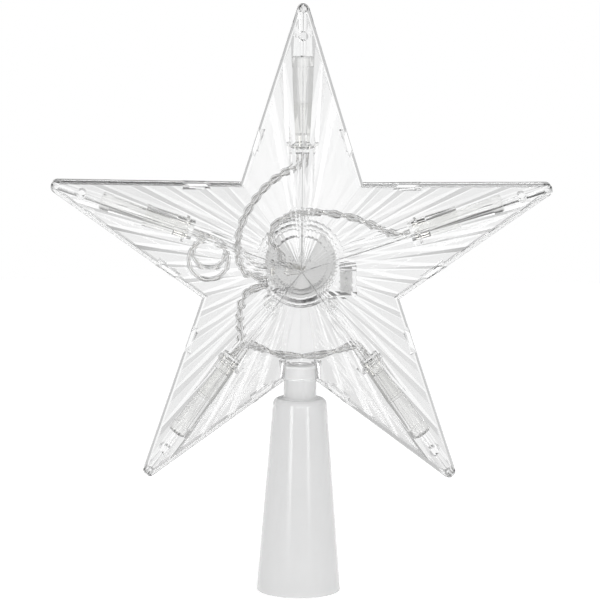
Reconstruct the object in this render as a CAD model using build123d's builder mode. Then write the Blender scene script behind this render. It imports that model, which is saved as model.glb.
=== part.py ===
from build123d import *
import math
import os

os.makedirs("parts", exist_ok=True)

# ---------------------------------------------------------------------------
# Clear five-pointed star on a frosted cone stem. Millimetres, +Z up, the front
# of the star faces -Y. The origin is the centre of the cone's open mouth.
# ---------------------------------------------------------------------------

# Stem
cone_height = 72.6          # mouth to shoulder
cone_mouth_r = 15.5         # outer radius at the mouth
cone_top_r = 9.8            # outer radius at the shoulder
cone_bore_r = 14.1          # straight register at the mouth
cone_bore_len = 6.0
cone_wall = 1.4
shoulder_fillet = 2.2
neck_r = 6.05
neck_top = 85.1
neck_wall = 1.3

# Star outline
star_z = 122.0              # height of the star's centre
tip_r = 102.4               # to the sharp tip, before rounding
notch_r = 38.2
tip_fillet = 2.4
notch_fillet = 0.8

# Shell halves
rim_half = 3.5              # rim height of each half
rim_land = 1.9              # flat land between rim edge and facets
rim_wall = 1.6
hollow_tip_r = 93.8         # where the hollow ends in each tip
apex_depth = 15.0           # centre plane to the middle point
shell_wall = 1.3
sleeve_r = 7.8              # socket that takes the stem's neck
sleeve_bore_r = 6.2
sleeve_low = 80.5
sleeve_top = 86.6
sleeve_ceiling = 85.4
pin_ring_r = 85.0           # locating pins, one per arm
boss_r = 1.6
pin_r = 0.8
pin_bore_r = 0.9
pin_len = 2.2
tongue_len = 8.0
tongue_t = 1.0
tongue_deep = 1.8
tongue_gap = 0.08
tongue_at = 0.77            # share of the edge from tip to notch
rib_at = 45.0               # cradle rib under each lamp holder
rib_t = 1.0
rib_half_w = 4.8

# Lamps
holder_in = 42.0
holder_out = 60.5
holder_r = 3.6
holder_lip_r = 3.9
holder_lip_len = 1.2
holder_cup_r = 3.15         # thin-walled cup around the lamp's lower half
holder_seat = 49.0          # floor of the cup, where the lamp's shoulder sits
holder_bore_r = 1.97
bulb_low_r = 2.2            # the lamp widens towards its end
bulb_high_r = 2.65
bulb_out = 77.6
bulb_cap_r = 3.1            # wider clear end of the lamp
bulb_cap_len = 3.8
bulb_plug_r = 1.9
bulb_plug_in = 44.0
contact_t = 0.4
contact_w = 1.9
contact_gap = 1.93          # lamp axis to the contact's inner face
contact_in = 43.5
contact_out = 48.5

# Battery case, behind the centre
case_r = 14.5
case_front = 3.0
case_floor = 4.4
case_rear = 15.2
case_flange_r = 16.0
case_flange_y = (3.4, 5.0)
cell_r = 10.0
cell_t = 3.2
pocket_r = 10.3
cell_start = 5.6
door_seat = 12.2
door_r = 12.42
door_recess_r = 12.5
lug_r = 13.3
lug_groove_r = 13.4
lug_w = 5.0
lug_y = (12.35, 13.35)
groove_top = 13.5
door_open_deg = 40.0
coin_slot = (10.0, 1.6, 1.2)
collar_in_r = 14.6
collar_out_r = 16.2
collar_rear = 14.0
screw_ring_r = 18.5
screw_angles = (90.0, 234.0, 306.0)
screw_r = 1.0
screw_head_r = 1.9
ear_r = 3.0

# Slide switch beside the case
pod_x = (10.0, 20.5)
pod_z = (star_z - 11.9, star_z - 0.9)
pod_rear = 12.5
pod_wall = 1.2
knob_x = (15.0, 18.9)
knob_z = (star_z - 9.5, star_z - 6.3)
knob_travel = 3.0
stem_x = (15.4, 17.9)
stem_z = (star_z - 9.3, star_z - 6.5)

# Wire gland on the case's front face
gland_x = (-12.2, -3.2)
gland_z = (star_z - 9.0, star_z + 1.0)
gland_y = (-5.0, 3.0)

# Wires
pair_r = 1.6
wire_r = 0.85

arms = {"top": 90.0, "right": 18.0, "lower_right": 306.0, "lower_left": 234.0, "left": 162.0}


def arm_dir(angle):
    a = math.radians(angle)
    return Vector(math.cos(a), 0, math.sin(a))


def star_points(scale=1.0):
    pts = []
    for k in range(5):
        for radius, ang in ((tip_r, 90 + 72 * k), (notch_r, 126 + 72 * k)):
            a = math.radians(ang)
            pts.append((scale * radius * math.cos(a), scale * radius * math.sin(a)))
    return pts


def blunt_points(scale):
    """The outline with each tip cut square at hollow_tip_r, for the hollow."""
    tip_half = math.atan2(edge_vec[1], edge_vec[0])
    half_w = (scale * tip_r - hollow_tip_r) * math.tan(tip_half)
    pts = []
    for k in range(5):
        a = math.radians(90 + 72 * k)
        for side in (-1, 1):
            pts.append((hollow_tip_r * math.cos(a) - side * half_w * math.sin(a), hollow_tip_r * math.sin(a) + side * half_w * math.cos(a)))
        b = math.radians(126 + 72 * k)
        pts.append((scale * notch_r * math.cos(b), scale * notch_r * math.sin(b)))
    return pts


# Distance from the centre to each edge line of the outline, and to the facets
edge_vec = (tip_r - notch_r * math.cos(math.radians(36)), notch_r * math.sin(math.radians(36)))
edge_len = math.hypot(*edge_vec)
edge_h = tip_r * edge_vec[1] / edge_len
facet_scale = (edge_h - rim_land) / edge_h
facet_tan = (apex_depth - rim_half) / (edge_h - rim_land)
facet_ang = math.atan(facet_tan)
inner_apex = apex_depth - shell_wall / math.cos(facet_ang)
wall_scale = (edge_h - rim_wall) / edge_h
wall_top = inner_apex - (edge_h - rim_wall) * facet_tan

front_plane = Plane(origin=(0, 0, star_z), x_dir=(1, 0, 0), z_dir=(0, -1, 0))
rear_plane = Plane(origin=(0, 0, star_z), x_dir=(-1, 0, 0), z_dir=(0, 1, 0))


def edge_frames(normal):
    """Point, direction along the edge and inward direction at each snap tongue."""
    frames = []
    pts = star_points()
    for i in range(10):
        a, b = pts[i], pts[(i + 1) % 10]
        tip, notch = (a, b) if i % 2 == 0 else (b, a)
        p = Vector(tip[0] + tongue_at * (notch[0] - tip[0]), 0, star_z + tip[1] + tongue_at * (notch[1] - tip[1]))
        along = Vector(notch[0] - tip[0], 0, notch[1] - tip[1]).normalized()
        inward = along.cross(normal).normalized()
        to_mid = Vector(0, 0, star_z) - p
        if inward.dot(to_mid) < 0:
            inward = inward * -1
        frames.append((p, along, inward))
    return frames


# ---------------------------------------------------------------------------
# Stem: hollow cone, shoulder and neck
# ---------------------------------------------------------------------------
with BuildPart() as stem_cone:
    with BuildSketch(Plane.XZ) as stem_profile:
        with BuildLine():
            Polyline(
                (cone_bore_r, 0),
                (cone_mouth_r, 0),
                (cone_top_r, cone_height),
                (neck_r, cone_height),
                (neck_r, neck_top),
                (0, neck_top),
                (0, neck_top - cone_wall),
                (neck_r - neck_wall, neck_top - cone_wall),
                (neck_r - neck_wall, cone_height - 1.6),
                (cone_top_r - cone_wall - 0.2, cone_height - 1.6),
                (cone_bore_r - 0.5, cone_bore_len),
                (cone_bore_r, cone_bore_len),
                close=True,
            )
        make_face()
        fillet(stem_profile.vertices().sort_by_distance((cone_top_r, cone_height, 0))[0], shoulder_fillet)
        fillet(stem_profile.vertices().sort_by_distance((neck_r, cone_height, 0))[0], 0.8)
        fillet(stem_profile.vertices().sort_by_distance((neck_r, neck_top, 0))[0], 0.8)
        fillet(stem_profile.vertices().sort_by_distance((cone_mouth_r, 0, 0))[0], 0.4)
    revolve(axis=Axis.Z)
stem_cone.part.label = "stem_cone"
export_step(stem_cone.part, "parts/stem_cone.step")

# ---------------------------------------------------------------------------
# Front half of the star
# ---------------------------------------------------------------------------
with BuildSketch(front_plane.offset(rim_half)) as front_base:
    Polygon(*star_points(facet_scale), align=None)
with BuildSketch(front_plane.offset(wall_top)) as front_hollow_base:
    Polygon(*blunt_points(wall_scale), align=None)

with BuildPart() as front_shell:
    # rim and facets
    with BuildSketch(front_plane) as front_outline:
        Polygon(*star_points(), align=None)
        fillet(front_outline.vertices().sort_by_distance((0, 0, 0))[5:], tip_fillet)
        fillet(front_outline.vertices().sort_by_distance((0, 0, 0))[:5], notch_fillet)
    extrude(amount=rim_half)
    loft([front_base.sketch, Vertex(0, -apex_depth, star_z)], ruled=True)
    # hollow
    with BuildSketch(front_plane) as front_hollow:
        Polygon(*blunt_points(wall_scale), align=None)
    extrude(amount=wall_top, mode=Mode.SUBTRACT)
    loft([front_hollow_base.sketch, Vertex(0, -inner_apex, star_z)], ruled=True, mode=Mode.SUBTRACT)
    # locating pins
    for angle in arms.values():
        at = Vector(0, 0, star_z) + arm_dir(angle) * pin_ring_r
        with BuildSketch(Plane(origin=at, x_dir=(1, 0, 0), z_dir=(0, -1, 0))):
            Circle(boss_r)
        extrude(amount=3.6)
        with BuildSketch(Plane(origin=at, x_dir=(1, 0, 0), z_dir=(0, 1, 0))):
            Circle(pin_r)
        extrude(amount=pin_len)
    # snap tongues
    for p, along, inward in edge_frames(Vector(0, -1, 0)):
        root = p + inward * (rim_wall - 0.2 + (tongue_t + 0.28) / 2) + Vector(0, -2.2, 0)
        with BuildSketch(Plane(origin=root, x_dir=along, z_dir=(0, 1, 0))):
            Rectangle(tongue_len, tongue_t + 0.28)
        extrude(amount=2.0)
        root = p + inward * (rim_wall + tongue_gap + tongue_t / 2) + Vector(0, -0.4, 0)
        with BuildSketch(Plane(origin=root, x_dir=along, z_dir=(0, 1, 0))):
            Rectangle(tongue_len, tongue_t)
        extrude(amount=0.4 + tongue_deep)
    # cradle ribs for the lamps
    for angle in arms.values():
        d = arm_dir(angle)
        at = Vector(0, 0, star_z) + d * (rib_at - rib_t / 2)
        h_mid = rib_at * math.cos(math.radians(72.4))
        with BuildSketch(Plane(origin=at, x_dir=Vector(0, -1, 0).cross(d), z_dir=d)):
            with BuildLine():
                Polyline(
                    (-rib_half_w, 0.1),
                    (rib_half_w, 0.1),
                    (rib_half_w, inner_apex - facet_tan * (h_mid + rib_half_w * 0.953) + 0.4),
                    (0, inner_apex - facet_tan * h_mid + 0.4),
                    (-rib_half_w, inner_apex - facet_tan * (h_mid + rib_half_w * 0.953) + 0.4),
                    close=True,
                )
            make_face()
            Circle(holder_r + 0.05, mode=Mode.SUBTRACT)
        extrude(amount=rib_t)
    # half sleeve for the stem's neck
    with BuildSketch(Plane.XY.offset(sleeve_low)):
        Circle(sleeve_r)
        Rectangle(40, 20, align=(Align.CENTER, Align.MAX), mode=Mode.INTERSECT)
    extrude(amount=sleeve_top - sleeve_low)
    with BuildSketch(Plane.XY.offset(60)):
        Circle(sleeve_bore_r)
    extrude(amount=sleeve_ceiling - 60, mode=Mode.SUBTRACT)
front_shell.part.label = "front_shell"
export_step(front_shell.part, "parts/front_shell.step")

# ---------------------------------------------------------------------------
# Rear half of the star
# ---------------------------------------------------------------------------
with BuildSketch(rear_plane.offset(rim_half)) as rear_base:
    Polygon(*star_points(facet_scale), align=None)
with BuildSketch(rear_plane.offset(wall_top)) as rear_hollow_base:
    Polygon(*blunt_points(wall_scale), align=None)

with BuildPart() as rear_shell:
    with BuildSketch(rear_plane) as rear_outline:
        Polygon(*star_points(), align=None)
        fillet(rear_outline.vertices().sort_by_distance((0, 0, 0))[5:], tip_fillet)
        fillet(rear_outline.vertices().sort_by_distance((0, 0, 0))[:5], notch_fillet)
    extrude(amount=rim_half)
    loft([rear_base.sketch, Vertex(0, apex_depth, star_z)], ruled=True)
    with BuildSketch(rear_plane) as rear_hollow:
        Polygon(*blunt_points(wall_scale), align=None)
    extrude(amount=wall_top, mode=Mode.SUBTRACT)
    loft([rear_hollow_base.sketch, Vertex(0, inner_apex, star_z)], ruled=True, mode=Mode.SUBTRACT)
    # sockets for the locating pins
    for angle in arms.values():
        at = Vector(0, 0, star_z) + arm_dir(angle) * pin_ring_r
        with BuildSketch(Plane(origin=at, x_dir=(1, 0, 0), z_dir=(0, 1, 0))):
            Circle(boss_r)
        extrude(amount=3.6)
        with BuildSketch(Plane(origin=at, x_dir=(1, 0, 0), z_dir=(0, 1, 0))):
            Circle(pin_bore_r)
        extrude(amount=pin_len + 0.4, mode=Mode.SUBTRACT)
    # cradle ribs for the lamps
    for angle in arms.values():
        d = arm_dir(angle)
        at = Vector(0, 0, star_z) + d * (rib_at - rib_t / 2)
        h_mid = rib_at * math.cos(math.radians(72.4))
        with BuildSketch(Plane(origin=at, x_dir=Vector(0, 1, 0).cross(d), z_dir=d)):
            with BuildLine():
                Polyline(
                    (-rib_half_w, 0.1),
                    (rib_half_w, 0.1),
                    (rib_half_w, inner_apex - facet_tan * (h_mid + rib_half_w * 0.953) + 0.4),
                    (0, inner_apex - facet_tan * h_mid + 0.4),
                    (-rib_half_w, inner_apex - facet_tan * (h_mid + rib_half_w * 0.953) + 0.4),
                    close=True,
                )
            make_face()
            Circle(holder_r + 0.05, mode=Mode.SUBTRACT)
        extrude(amount=rib_t)
    # half sleeve for the stem's neck
    with BuildSketch(Plane.XY.offset(sleeve_low)):
        Circle(sleeve_r)
        Rectangle(40, 20, align=(Align.CENTER, Align.MIN), mode=Mode.INTERSECT)
    extrude(amount=sleeve_top - sleeve_low)
    with BuildSketch(Plane.XY.offset(60)):
        Circle(sleeve_bore_r)
    extrude(amount=sleeve_ceiling - 60, mode=Mode.SUBTRACT)
    # screw bosses around the battery case
    for angle in screw_angles:
        at = Vector(0, case_flange_y[1], star_z) + arm_dir(angle) * screw_ring_r
        with BuildSketch(Plane(origin=at, x_dir=(1, 0, 0), z_dir=(0, 1, 0))):
            Circle(2.3)
        extrude(amount=6.2)
        with BuildSketch(Plane(origin=at, x_dir=(1, 0, 0), z_dir=(0, 1, 0))):
            Circle(screw_r + 0.02)
        extrude(amount=4.6, mode=Mode.SUBTRACT)
    # round opening for the battery case and window for the switch housing
    with BuildSketch(rear_plane):
        Circle(collar_in_r)
        with Locations((-(pod_x[0] + pod_x[1]) / 2, (pod_z[0] + pod_z[1]) / 2 - star_z)):
            Rectangle(pod_x[1] - pod_x[0] + 0.24, pod_z[1] - pod_z[0] + 0.24)
    extrude(amount=30, mode=Mode.SUBTRACT)
    # collar around the battery case
    with BuildSketch(rear_plane.offset(case_flange_y[1])):
        Circle(collar_out_r)
        Circle(collar_in_r, mode=Mode.SUBTRACT)
        with Locations((-(pod_x[0] + pod_x[1]) / 2, (pod_z[0] + pod_z[1]) / 2 - star_z)):
            Rectangle(pod_x[1] - pod_x[0] + 0.24, pod_z[1] - pod_z[0] + 0.24, mode=Mode.SUBTRACT)
    extrude(amount=collar_rear - case_flange_y[1])
rear_shell.part.label = "rear_shell"
export_step(rear_shell.part, "parts/rear_shell.step")

# ---------------------------------------------------------------------------
# Lamps: bulb and holder in each arm
# ---------------------------------------------------------------------------
for name, angle in arms.items():
    d = arm_dir(angle)
    side = Vector(0, -1, 0).cross(d)
    mid = Vector(0, 0, star_z)

    with BuildPart() as lamp_holder:
        with BuildSketch(Plane(origin=mid + d * holder_in, x_dir=side, z_dir=d)):
            Circle(holder_r)
        extrude(amount=holder_out - holder_in)
        with BuildSketch(Plane(origin=mid + d * (holder_out - holder_lip_len), x_dir=side, z_dir=d)):
            Circle(holder_lip_r)
        extrude(amount=holder_lip_len)
        with BuildSketch(Plane(origin=mid + d * holder_seat, x_dir=side, z_dir=d)):
            Circle(holder_cup_r)
        extrude(amount=holder_out - holder_seat, mode=Mode.SUBTRACT)
        with BuildSketch(Plane(origin=mid + d * (contact_in - 0.1), x_dir=side, z_dir=d)):
            Circle(holder_bore_r)
        extrude(amount=holder_seat - contact_in + 0.1, mode=Mode.SUBTRACT)
        with BuildSketch(Plane(origin=mid + d * (contact_in - 0.1), x_dir=side, z_dir=d)):
            Rectangle(2 * (contact_gap + contact_t + 0.03), contact_w + 0.06)
        extrude(amount=contact_out - contact_in + 0.2, mode=Mode.SUBTRACT)
    lamp_holder.part.label = "lamp_holder_" + name
    export_step(lamp_holder.part, "parts/lamp_holder_" + name + ".step")

    with BuildPart() as led_bulb:
        with BuildSketch(Plane(origin=mid + d * bulb_plug_in, x_dir=side, z_dir=d)):
            Circle(bulb_plug_r)
        extrude(amount=holder_seat - bulb_plug_in)
        with BuildSketch(Plane(origin=mid + d * holder_seat, x_dir=side, z_dir=d)):
            Circle(bulb_low_r)
        run = bulb_out - bulb_cap_len - holder_seat
        extrude(amount=run, taper=-math.degrees(math.atan((bulb_high_r - bulb_low_r) / run)))
        with BuildSketch(Plane(origin=mid + d * (bulb_out - bulb_cap_len), x_dir=side, z_dir=d)):
            Circle(bulb_cap_r)
        extrude(amount=bulb_cap_len)
        fillet(led_bulb.edges().filter_by(GeomType.CIRCLE).sort_by(Axis(tuple(mid), tuple(d)))[-1], 0.9)
    led_bulb.part.label = "led_bulb_" + name
    export_step(led_bulb.part, "parts/led_bulb_" + name + ".step")

# Two spring contacts in each holder
with BuildPart() as lamp_contacts:
    for name, angle in arms.items():
        d = arm_dir(angle)
        side = Vector(0, -1, 0).cross(d)
        at = Vector(0, 0, star_z) + d * contact_in
        with BuildSketch(Plane(origin=at, x_dir=side, z_dir=d)):
            with Locations((contact_gap + contact_t / 2, 0), (-contact_gap - contact_t / 2, 0)):
                Rectangle(contact_t, contact_w)
        extrude(amount=contact_out - contact_in)
lamp_contacts.part.label = "lamp_contacts"
export_step(lamp_contacts.part, "parts/lamp_contacts.step")

# ---------------------------------------------------------------------------
# Battery case with the switch housing at its right side
# ---------------------------------------------------------------------------
with BuildPart() as battery_case:
    with BuildSketch(rear_plane.offset(case_front)):
        Circle(case_r)
    extrude(amount=case_rear - case_front)
    with BuildSketch(rear_plane.offset(case_flange_y[0])):
        Circle(case_flange_r)
    extrude(amount=case_flange_y[1] - case_flange_y[0])
    for angle in screw_angles:
        at = Vector(0, case_flange_y[0], star_z) + arm_dir(angle) * screw_ring_r
        with BuildSketch(Plane(origin=at, x_dir=(1, 0, 0), z_dir=(0, 1, 0))):
            Circle(ear_r)
        extrude(amount=case_flange_y[1] - case_flange_y[0])
    with BuildSketch(Plane(origin=((pod_x[0] + pod_x[1]) / 2, case_front, (pod_z[0] + pod_z[1]) / 2), x_dir=(1, 0, 0), z_dir=(0, 1, 0))):
        Rectangle(pod_x[1] - pod_x[0], pod_z[1] - pod_z[0])
    extrude(amount=pod_rear - case_front)
    # cell pocket, door recess and the groove for the door's lugs
    with BuildSketch(rear_plane.offset(case_floor)):
        Circle(pocket_r)
    extrude(amount=20, mode=Mode.SUBTRACT)
    with BuildSketch(rear_plane.offset(door_seat)):
        Circle(door_recess_r)
    extrude(amount=20, mode=Mode.SUBTRACT)
    with BuildSketch(rear_plane.offset(door_seat)):
        Circle(lug_groove_r)
    extrude(amount=groove_top - door_seat, mode=Mode.SUBTRACT)
    # entry slots for the lugs
    with BuildSketch(rear_plane.offset(door_seat)):
        with Locations(Rotation(0, 0, door_open_deg)):
            Rectangle(2 * lug_groove_r, lug_w + 0.8)
        Circle(lug_groove_r, mode=Mode.INTERSECT)
    extrude(amount=20, mode=Mode.SUBTRACT)
    # switch cavity, open to the front, and the slot for the knob
    with BuildSketch(Plane(origin=((stem_x[0] + stem_x[1]) / 2, case_front, (pod_z[0] + pod_z[1]) / 2), x_dir=(1, 0, 0), z_dir=(0, 1, 0))):
        Rectangle(4.6, 8.6)
    extrude(amount=pod_rear - pod_wall - case_front, mode=Mode.SUBTRACT)
    with BuildSketch(Plane(origin=((stem_x[0] + stem_x[1]) / 2, case_front, (stem_z[0] + stem_z[1] + knob_travel) / 2), x_dir=(1, 0, 0), z_dir=(0, 1, 0))):
        Rectangle(stem_x[1] - stem_x[0] + 0.6, stem_z[1] - stem_z[0] + knob_travel + 0.8)
    extrude(amount=20, mode=Mode.SUBTRACT)
    # screw holes
    for angle in screw_angles:
        at = Vector(0, 0, star_z) + arm_dir(angle) * screw_ring_r
        with BuildSketch(Plane(origin=at, x_dir=(1, 0, 0), z_dir=(0, 1, 0))):
            Circle(screw_r + 0.1)
        extrude(amount=9, mode=Mode.SUBTRACT)
    # way through for the negative contact's tail
    with BuildSketch(Plane(origin=(-5.2, 0, star_z - 1.5), x_dir=(1, 0, 0), z_dir=(0, 1, 0))):
        Circle(0.65)
    extrude(amount=8, mode=Mode.SUBTRACT)
    # slot for the positive contact
    with BuildSketch(Plane(origin=(-10.4, 0, star_z - 2.0), x_dir=(1, 0, 0), z_dir=(0, 1, 0))):
        Rectangle(1.6, 4.1)
    extrude(amount=12.0, mode=Mode.SUBTRACT)
battery_case.part.label = "battery_case"
export_step(battery_case.part, "parts/battery_case.step")

# Twist-off door with two lugs and a coin slot
with BuildPart() as battery_door:
    with BuildSketch(rear_plane.offset(door_seat + 0.1)):
        Circle(door_r)
    extrude(amount=case_rear - door_seat - 0.1)
    with BuildSketch(rear_plane.offset(lug_y[0])):
        Rectangle(2 * lug_r, lug_w)
        Circle(lug_r, mode=Mode.INTERSECT)
    extrude(amount=lug_y[1] - lug_y[0])
    with BuildSketch(rear_plane.offset(case_rear)):
        Rectangle(coin_slot[0], coin_slot[1])
    extrude(amount=-coin_slot[2], mode=Mode.SUBTRACT)
    chamfer(battery_door.edges().filter_by(GeomType.CIRCLE).group_by(Axis.Y)[-1], 0.4)
battery_door.part.label = "battery_door"
export_step(battery_door.part, "parts/battery_door.step")

# Leaf spring on the pocket's floor, with its tail into the gland
with BuildPart() as negative_contact:
    with BuildSketch(Plane(origin=(-2.2, case_floor, star_z - 1.5), x_dir=(1, 0, 0), z_dir=(0, 1, 0))):
        SlotOverall(8.4, 2.4)
    extrude(amount=0.3)
    with BuildSketch(Plane(origin=(0, case_floor + 0.3, star_z - 1.5), x_dir=(1, 0, 0), z_dir=(0, 1, 0))):
        Circle(1.1)
    extrude(amount=cell_start - case_floor - 0.3, taper=25)
    with BuildSketch(Plane(origin=(-5.2, 0.6, star_z - 1.5), x_dir=(1, 0, 0), z_dir=(0, 1, 0))):
        Circle(0.55)
    extrude(amount=case_floor - 0.6 + 0.1)
negative_contact.part.label = "negative_contact"
export_step(negative_contact.part, "parts/negative_contact.step")

# Side clip for the upper cell, with its tail into the gland
with BuildPart() as positive_contact:
    with BuildSketch(Plane(origin=(-10.75, 0.6, star_z - 2.0), x_dir=(1, 0, 0), z_dir=(0, 1, 0))):
        Rectangle(0.4, 3.6)
    extrude(amount=11.0 - 0.6)
    with BuildSketch(Plane(origin=(-10.0, 9.6, star_z - 2.0), x_dir=(1, 0, 0), z_dir=(0, 1, 0))):
        Rectangle(1.2, 3.6)
    extrude(amount=1.0)
    with BuildSketch(rear_plane):
        Circle(cell_r + 0.02)
    extrude(amount=20, mode=Mode.SUBTRACT)
positive_contact.part.label = "positive_contact"
export_step(positive_contact.part, "parts/positive_contact.step")

# Slide switch: body in the housing, and the knob
with BuildPart() as switch_body:
    with BuildSketch(Plane(origin=((stem_x[0] + stem_x[1]) / 2, 6.6, (pod_z[0] + pod_z[1]) / 2), x_dir=(1, 0, 0), z_dir=(0, 1, 0))):
        Rectangle(4.4, 8.4)
    extrude(amount=pod_rear - pod_wall - 6.6)
    with BuildSketch(Plane(origin=((stem_x[0] + stem_x[1]) / 2, 9.0, (stem_z[0] + stem_z[1] + knob_travel) / 2), x_dir=(1, 0, 0), z_dir=(0, 1, 0))):
        Rectangle(stem_x[1] - stem_x[0] + 0.6, stem_z[1] - stem_z[0] + knob_travel + 0.8)
    extrude(amount=8, mode=Mode.SUBTRACT)
    with BuildSketch(Plane(origin=((stem_x[0] + stem_x[1]) / 2, 6.6, (pod_z[0] + pod_z[1]) / 2), x_dir=(1, 0, 0), z_dir=(0, -1, 0))):
        with GridLocations(0, 2.5, 1, 3):
            Rectangle(0.5, 1.0)
    extrude(amount=2.2)
switch_body.part.label = "switch_body"
export_step(switch_body.part, "parts/switch_body.step")

with BuildPart() as switch_knob:
    with BuildSketch(Plane(origin=((stem_x[0] + stem_x[1]) / 2, 9.4, (stem_z[0] + stem_z[1]) / 2), x_dir=(1, 0, 0), z_dir=(0, 1, 0))):
        Rectangle(stem_x[1] - stem_x[0], stem_z[1] - stem_z[0])
    extrude(amount=pod_rear + 0.3 - 9.4)
    with BuildSketch(Plane(origin=((knob_x[0] + knob_x[1]) / 2, pod_rear + 0.3, (knob_z[0] + knob_z[1]) / 2), x_dir=(1, 0, 0), z_dir=(0, 1, 0))):
        Rectangle(knob_x[1] - knob_x[0], knob_z[1] - knob_z[0])
    extrude(amount=1.4)
    chamfer(switch_knob.faces().sort_by(Axis.Y)[-1].edges(), 0.35)
switch_knob.part.label = "switch_knob"
export_step(switch_knob.part, "parts/switch_knob.step")

# Wire gland on the case's front face
with BuildPart() as wire_gland:
    with BuildSketch(Plane(origin=((gland_x[0] + gland_x[1]) / 2, gland_y[0], (gland_z[0] + gland_z[1]) / 2), x_dir=(1, 0, 0), z_dir=(0, 1, 0))):
        RectangleRounded(gland_x[1] - gland_x[0], gland_z[1] - gland_z[0], 0.8)
    extrude(amount=gland_y[1] - gland_y[0])
    with BuildSketch(Plane(origin=(-5.2, 0.4, star_z - 1.5), x_dir=(1, 0, 0), z_dir=(0, 1, 0))):
        Circle(0.65)
    extrude(amount=4, mode=Mode.SUBTRACT)
    with BuildSketch(Plane(origin=(-10.4, 0.4, star_z - 2.0), x_dir=(1, 0, 0), z_dir=(0, 1, 0))):
        Rectangle(1.6, 4.1)
    extrude(amount=4, mode=Mode.SUBTRACT)
wire_gland.part.label = "wire_gland"
export_step(wire_gland.part, "parts/wire_gland.step")

# Screws through the case's ears into the rear shell
with BuildPart() as case_screws:
    for angle in screw_angles:
        at = Vector(0, 0, star_z) + arm_dir(angle) * screw_ring_r
        with BuildSketch(Plane(origin=at + Vector(0, 2.0, 0), x_dir=(1, 0, 0), z_dir=(0, 1, 0))):
            Circle(screw_head_r)
        extrude(amount=1.4)
        with BuildSketch(Plane(origin=at + Vector(0, 3.4, 0), x_dir=(1, 0, 0), z_dir=(0, 1, 0))):
            Circle(screw_r)
        extrude(amount=5.6)
        with BuildSketch(Plane(origin=at + Vector(0, 2.0, 0), x_dir=(1, 0, 0), z_dir=(0, 1, 0))):
            Rectangle(2.2, 0.5)
            Rectangle(0.5, 2.2)
        extrude(amount=0.6, mode=Mode.SUBTRACT)
case_screws.part.label = "case_screws"
export_step(case_screws.part, "parts/case_screws.step")

# ---------------------------------------------------------------------------
# Wires. Each route is straight runs joined by tangent arcs, its points counted
# from the star's centre.
# ---------------------------------------------------------------------------


def lamp_end(name, y, back=0.0):
    p = Vector(0, y, 0) + arm_dir(arms[name]) * (holder_in - back)
    return (p.X, p.Y, p.Z)


def bend_radii(points):
    radii = []
    for a, b, c in zip(points, points[1:], points[2:]):
        u = Vector(*b) - Vector(*a)
        v = Vector(*c) - Vector(*b)
        half = math.radians(u.get_angle(v)) / 2
        radii.append(0.45 * min(u.length, v.length) / math.tan(half))
    return radii


def loop_points():
    pts = []
    turns = 24
    for i in range(turns + 1):
        s = i / turns
        b = min(max((s - 0.4) / 0.2, 0.0), 1.0)
        b = b * b * (3 - 2 * b)
        cx, cz = -34.0 + 0.2 * b, 2.4 + 2.6 * b
        r = 7.5 - 1.4 * b
        a = math.radians(70 - 720 * s)
        pts.append((cx + r * math.cos(a), -1.9 + 3.8 * s, cz + r * math.sin(a)))
    return pts


routes = {
    "wire_top": (
        pair_r,
        [
            lamp_end("top", -1.0),
            lamp_end("top", -1.0, 2.8),
            (-2.7, -1.2, 36.9),
            (-7.6, -1.4, 34.2),
            (-13.0, -1.6, 29.9),
            (-17.4, -1.7, 24.5),
            (-21.1, -2.2, 18.5),
            (-23.3, -3.0, 12.0),
            (-23.6, -3.0, 5.2),
            (-22.0, -3.0, -0.6),
            (-17.6, -3.0, -3.8),
            (gland_x[0], -3.0, -3.8),
        ],
    ),
    "wire_right": (
        pair_r,
        [
            lamp_end("right", -0.6),
            lamp_end("right", -0.6, 4.6),
            (30.0, -1.2, 13.6),
            (23.2, -1.5, 16.9),
            (15.6, -1.6, 19.0),
            (7.6, -1.6, 20.3),
            (-0.6, -1.6, 20.2),
            (-7.4, -1.6, 17.9),
            (-11.3, -1.6, 13.4),
            (-11.2, -1.6, 8.2),
            (-7.3, -1.6, 5.0),
            (-7.3, -1.6, gland_z[1] - star_z),
        ],
    ),
    "wire_bottom": (
        pair_r,
        [
            lamp_end("lower_left", -1.68),
            lamp_end("lower_left", -1.68, 3.6),
            (-18.9, -1.68, -28.9),
            (-14.4, -1.6, -30.4),
            (-8.0, -1.3, -32.9),
            (-0.6, -1.0, -33.4),
            (6.8, -0.9, -33.1),
            (13.4, -0.7, -31.4),
            (18.8, -0.4, -29.3),
            lamp_end("lower_right", -0.4, 3.6),
            lamp_end("lower_right", -0.4),
        ],
    ),
    "wire_lower_left": (
        pair_r,
        [
            (gland_x[0], -1.6, -7.3),
            (-16.6, -1.6, -7.3),
            (-20.6, -0.8, -10.6),
            (-22.6, 0.2, -16.0),
            (-22.5, 1.1, -22.4),
            (-21.6, 1.6, -27.4),
            lamp_end("lower_left", 1.68, 3.6),
            lamp_end("lower_left", 1.68),
        ],
    ),
    "wire_left": (
        wire_r,
        [lamp_end("left", -1.9), lamp_end("left", -1.9, 3.6)]
        + loop_points()
        + [
            (-26.4, 2.0, 8.4),
            (-21.8, 1.8, 4.8),
            (-18.2, 1.4, 1.2),
            (-15.4, 1.2, -0.9),
            (gland_x[0], 1.2, -0.9),
        ],
    ),
}

for name, (radius, points) in routes.items():
    points = [(x, y, z + star_z) for x, y, z in points]
    radii = bend_radii(points)
    with BuildPart() as wire:
        with BuildLine() as wire_path:
            FilletPolyline(*points, radius=radii)
        with BuildSketch(Plane(origin=wire_path.line @ 0, z_dir=wire_path.line % 0)):
            Circle(radius)
        sweep()
    length = wire_path.wire().length
    print(name, "length", round(length, 1), "volume ratio", round(wire.part.volume / (math.pi * radius**2 * length), 4),
          "radii", [round(r, 1) for r in radii])
    wire.part.label = name
    export_step(wire.part, "parts/" + name + ".step")
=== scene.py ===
import math

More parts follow.
